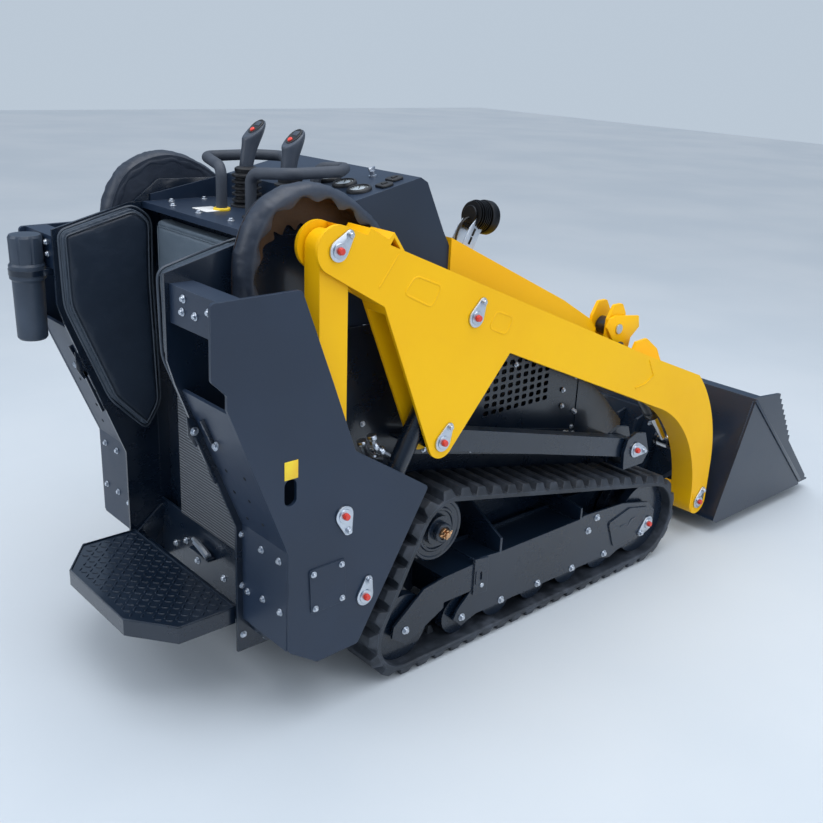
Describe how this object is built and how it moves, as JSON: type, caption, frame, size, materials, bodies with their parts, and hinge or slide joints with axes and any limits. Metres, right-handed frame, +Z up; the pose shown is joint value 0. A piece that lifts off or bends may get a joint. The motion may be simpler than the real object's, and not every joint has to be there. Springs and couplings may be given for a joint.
{
  "type": "stand-on tracked mini skid steer loader",
  "caption": "Stand-on compact tracked loader with vertical-lift arms, bucket, rear operator platform, padded control station and rubber tracks.",
  "frame": {"origin": "middle of the bounding box on the ground under the tracks", "axes": "+X forward to the bucket, +Y to the machine's left, +Z up"},
  "size_m": [2.948, 1.05, 1.5019],
  "materials": {
    "yellow_paint": "gloss",
    "track_rubber": "matt",
    "pad_leather": "satin",
    "sleeve_leather": "satin",
    "black_plastic": "matt",
    "rod_chrome": "polished",
    "radiator_core": "matt",
    "grey_paint": "satin",
    "cast_engine": "rough",
    "lamp_body": "satin",
    "black_paint": "satin"
  },
  "bodies": {
    "chassis": {"bulkhead": "black_paint", "canister": "black_plastic", "centre_pad": "pad_leather", "console": "grey_paint", "engine_block": "cast_engine", "fender_left": "black_paint", "fender_right": "black_paint", "grab_handle_left": "black_plastic", "grab_handle_right": "black_plastic", "hood": "yellow_paint", "hose_sleeve_left": "sleeve_leather", "hose_sleeve_right": "sleeve_leather", "idler_left": "black_paint", "idler_right": "black_paint", "joystick_left": "black_plastic", "joystick_right": "black_plastic", "main_frame": "black_paint", "nose_plate": "black_paint", "operator_wall_left": "black_paint", "operator_wall_right": "black_paint", "radiator": "radiator_core", "side_panel_left": "black_paint", "side_panel_right": "black_paint", "side_shield_left": "grey_paint", "side_shield_right": "grey_paint", "sprocket_left": "black_paint", "sprocket_right": "black_paint", "thigh_pad_left": "pad_leather", "thigh_pad_right": "pad_leather", "track_frame_left": "black_paint", "track_frame_right": "black_paint", "track_left": "track_rubber", "track_right": "track_rubber", "track_rollers_left": "black_paint", "track_rollers_right": "black_paint", "work_lamp": "lamp_body"},
    "front_links": {"front_links": "black_paint"},
    "arms": {"arm_left": "yellow_paint", "arm_right": "yellow_paint", "arm_crossmember": "yellow_paint"},
    "rear_links": {"rear_links": "yellow_paint"},
    "lift_barrels": {"lift_barrels": "black_paint"},
    "lift_rods": {"lift_rods": "rod_chrome"},
    "tilt_barrels": {"tilt_barrels": "black_paint"},
    "tilt_rods": {"tilt_rods": "rod_chrome"},
    "bucket_group": {"coupler_plate": "black_paint", "bucket": "black_paint"},
    "platform_body": {"platform": "black_paint"}
  },
  "joints": [
    {"name": "front_link_hinge", "type": "hinge", "parent": "chassis", "child": "front_links", "pos_m": [0.25, 0, 0.455], "axis": [0, 1, 0], "range_deg": [0, 44]},
    {"name": "arm_hinge", "type": "hinge", "parent": "front_links", "child": "arms", "pos_m": [-0.663, 0, 0.693], "axis": [0, 1, 0], "range_deg": [-102.05, 0]},
    {"name": "rear_link_hinge", "type": "hinge", "parent": "arms", "child": "rear_links", "pos_m": [-1.032, 0, 1.253], "axis": [0, 1, 0], "range_deg": [0, 68.44]},
    {"name": "lift_barrel_hinge", "type": "hinge", "parent": "chassis", "child": "lift_barrels", "pos_m": [-0.948, 0, 0.332], "axis": [0, 1, 0], "range_deg": [-7.09, 0]},
    {"name": "lift_rod_slide", "type": "slide", "parent": "lift_barrels", "child": "lift_rods", "axis": [0.4816, 0, 0.8764], "range_m": [0, 0.48483]},
    {"name": "bucket_tilt_hinge", "type": "hinge", "parent": "arms", "child": "bucket_group", "pos_m": [0.69, 0, 0.144], "axis": [0, 1, 0], "range_deg": [-20, 100]},
    {"name": "tilt_barrel_hinge", "type": "hinge", "parent": "arms", "child": "tilt_barrels", "pos_m": [0.256, 0, 0.845], "axis": [0, 1, 0], "range_deg": [-0.45, 2.23]},
    {"name": "tilt_rod_slide", "type": "slide", "parent": "tilt_barrels", "child": "tilt_rods", "axis": [0.6578, 0, -0.7532], "range_m": [-0.05516, 0.27582]},
    {"name": "platform_hinge", "type": "hinge", "parent": "chassis", "child": "platform_body", "pos_m": [-1.172, 0, 0.236], "axis": [0, 1, 0], "range_deg": [0, 85]}
  ],
  "couplings": [
    {"joint": "arm_hinge", "follows": "front_link_hinge", "ratio": -2.3192},
    {"joint": "rear_link_hinge", "follows": "front_link_hinge", "ratio": 1.5555},
    {"joint": "lift_barrel_hinge", "follows": "front_link_hinge", "ratio": -0.16108},
    {"joint": "lift_rod_slide", "follows": "front_link_hinge", "m_per_rad": 0.63134},
    {"joint": "tilt_barrel_hinge", "follows": "bucket_tilt_hinge", "ratio": 0.022279},
    {"joint": "tilt_rod_slide", "follows": "bucket_tilt_hinge", "m_per_rad": 0.15803}
  ]
}
